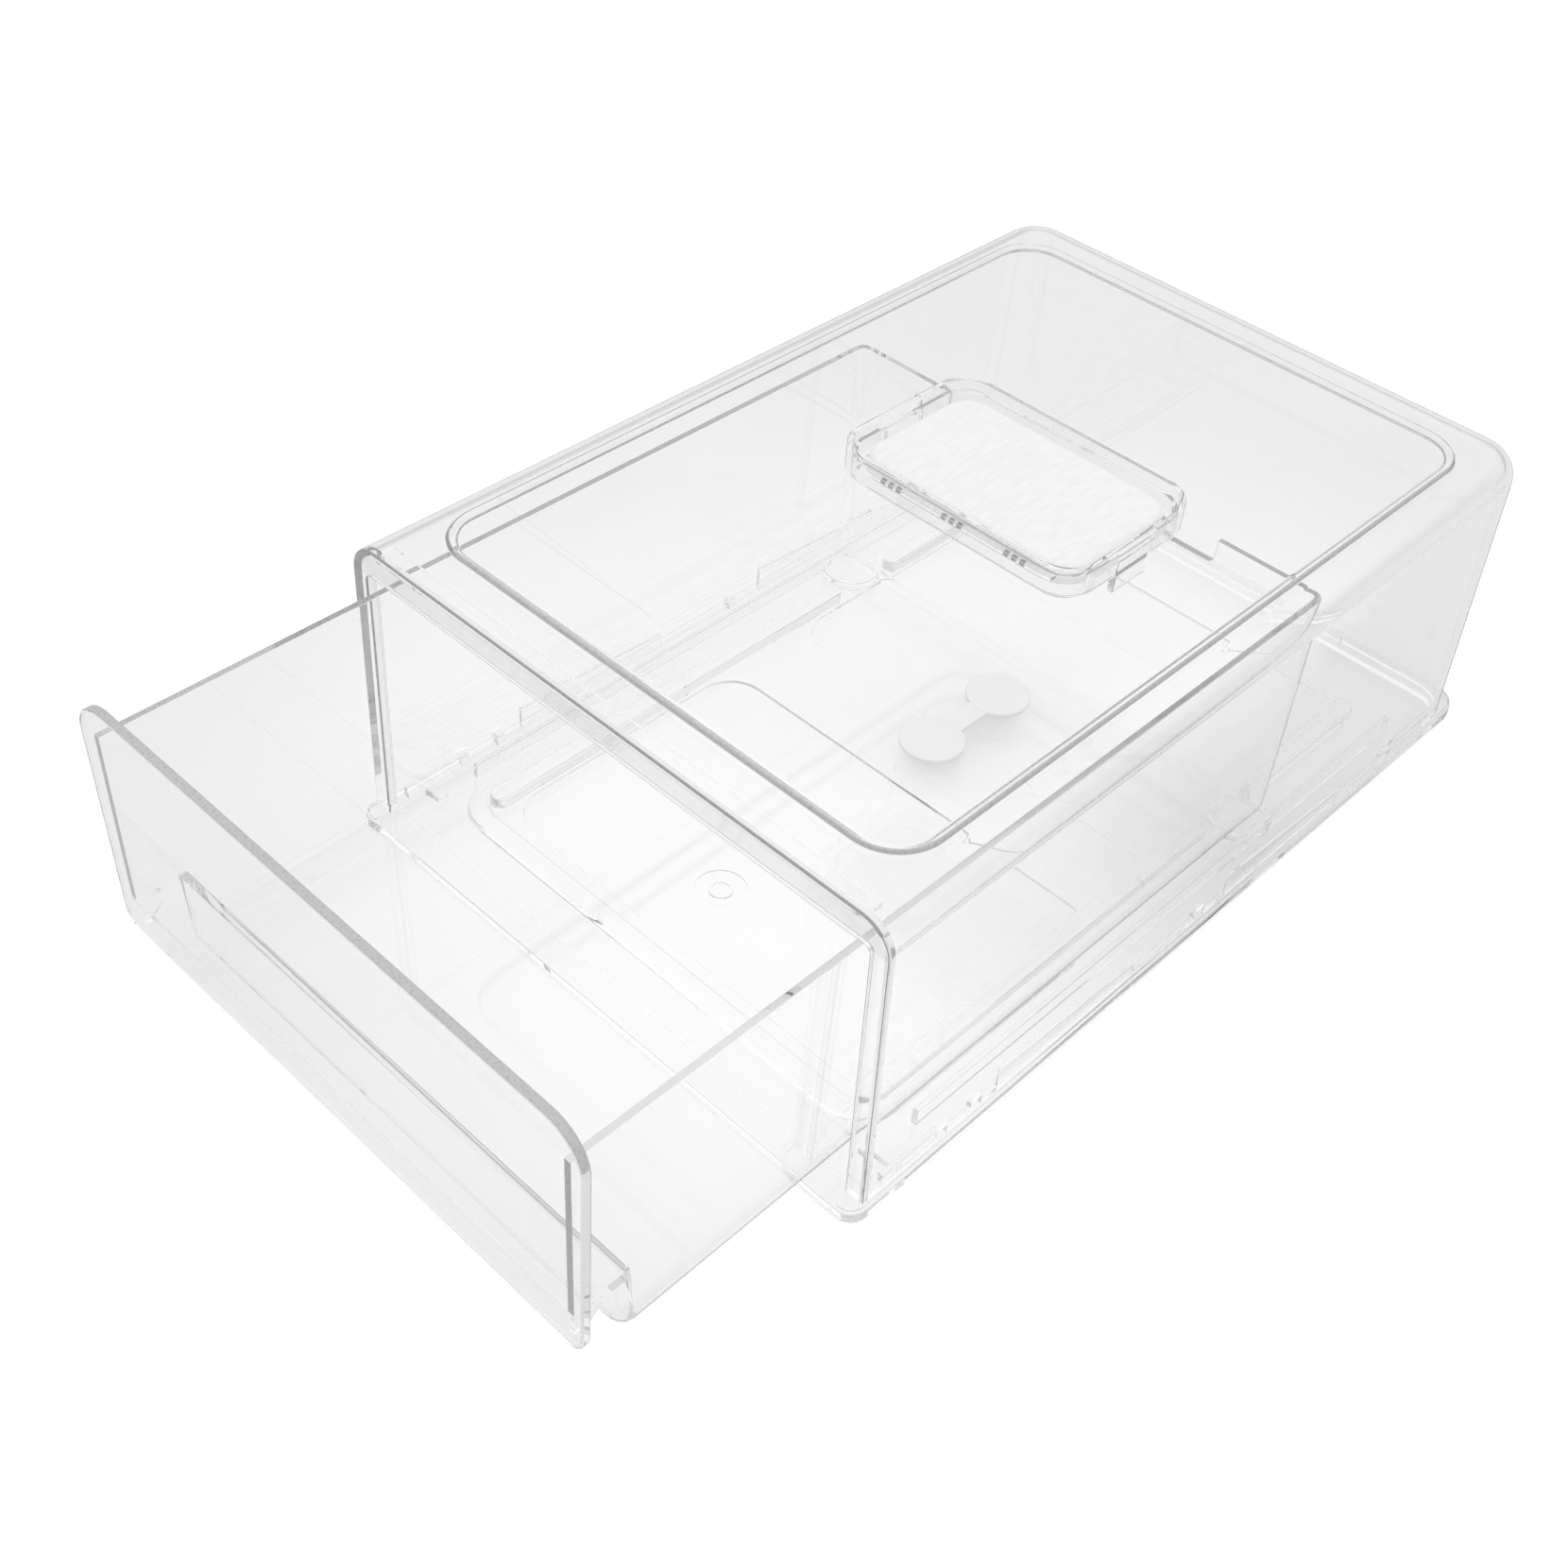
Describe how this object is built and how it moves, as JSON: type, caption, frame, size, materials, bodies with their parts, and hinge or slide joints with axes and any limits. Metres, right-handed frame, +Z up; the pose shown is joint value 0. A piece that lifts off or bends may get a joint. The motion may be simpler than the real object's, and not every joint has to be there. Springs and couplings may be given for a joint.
{
  "type": "fridge drawer organizer",
  "caption": "Clear plastic fridge organizer: a hood on a base tray, a sliding drawer with a finger shelf behind its front panel, and a snap-in freshness cartridge under the top.",
  "frame": {"origin": "centre of the base tray's flat underside, on the surface the organizer stands on", "axes": "+X to the right of someone who faces the drawer, +Y from the drawer's front to the back, +Z up"},
  "size_m": [0.2166, 0.4089, 0.1115],
  "materials": {
    "clear_plastic": "polished clear moulding",
    "silicone": "translucent matte",
    "absorber": "white pressed fibre"
  },
  "bodies": {
    "case": {"case_shell": "clear_plastic", "base_tray": "clear_plastic", "cartridge_cup": "clear_plastic", "absorber_pad": "absorber"},
    "drawer": {"drawer_body": "clear_plastic", "front_panel": "clear_plastic", "drain_stopper": "silicone"}
  },
  "joints": [
    {"name": "drawer_slide", "type": "slide", "parent": "case", "child": "drawer", "axis": [0, -1, 0], "range_m": [-0.0892, 0.11]}
  ]
}
